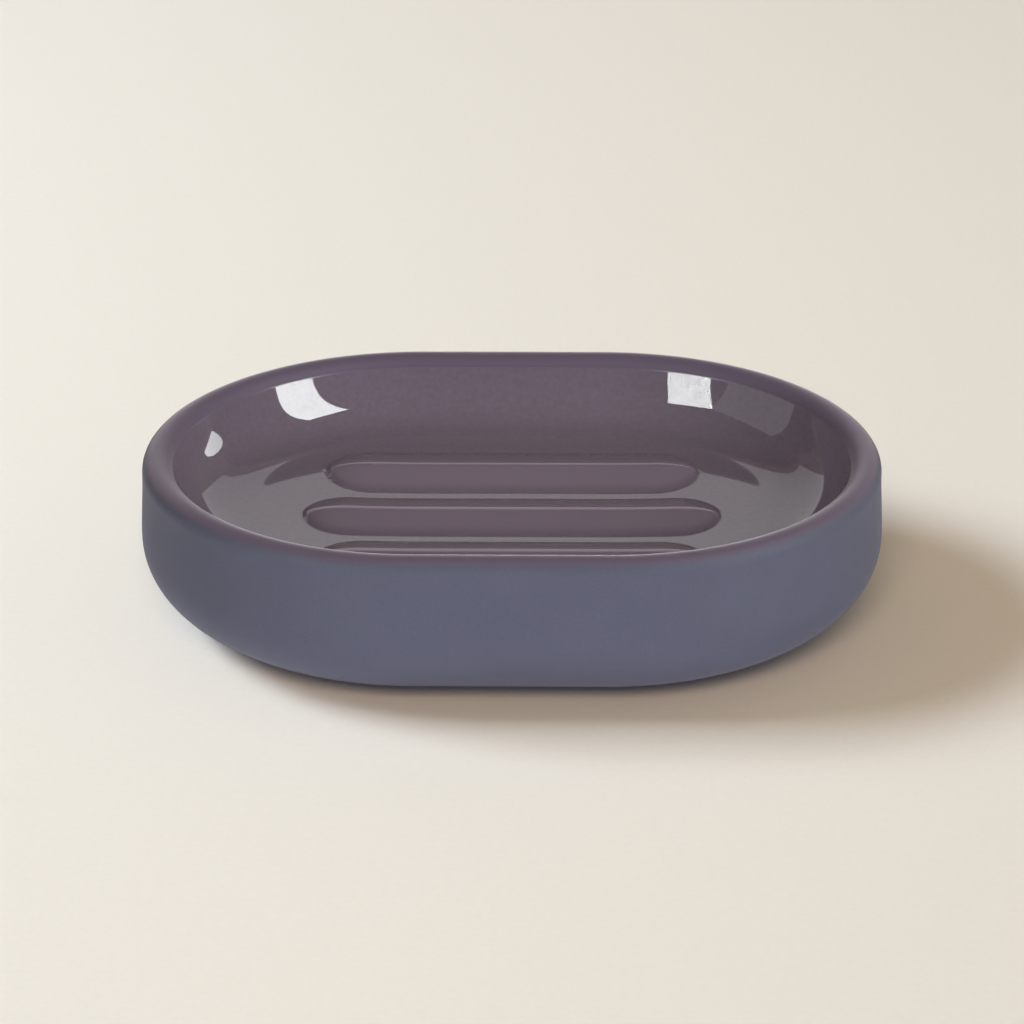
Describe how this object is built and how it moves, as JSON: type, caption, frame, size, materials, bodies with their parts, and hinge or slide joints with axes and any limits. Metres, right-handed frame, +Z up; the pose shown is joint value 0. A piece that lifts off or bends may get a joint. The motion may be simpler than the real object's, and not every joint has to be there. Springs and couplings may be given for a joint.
{
  "type": "soap dish",
  "caption": "Oval stoneware soap dish with a glossy glazed hollow, raised drainage ribs on the floor, a matte soft-touch outside and non-slip foot pads.",
  "frame": {"origin": "middle of the plane that the dish rests on", "axes": "+X along the length of the oval, +Y across it, +Z up out of the hollow"},
  "size_m": [0.13, 0.097, 0.03],
  "materials": {
    "stoneware": "unglazed fired clay, matte and slightly rough",
    "plum_glaze": "glossy aubergine glaze",
    "soft_touch_coat": "sprayed soft-touch coat, matte dusky blue-violet",
    "pad_rubber": "satin translucent rubber"
  },
  "bodies": {
    "root": {"stoneware_body": "stoneware", "inside_glaze": "plum_glaze", "outside_soft_touch_coat": "soft_touch_coat", "foot_pad_front_left": "pad_rubber", "foot_pad_back_left": "pad_rubber", "foot_pad_front_right": "pad_rubber", "foot_pad_back_right": "pad_rubber"}
  },
  "joints": []
}
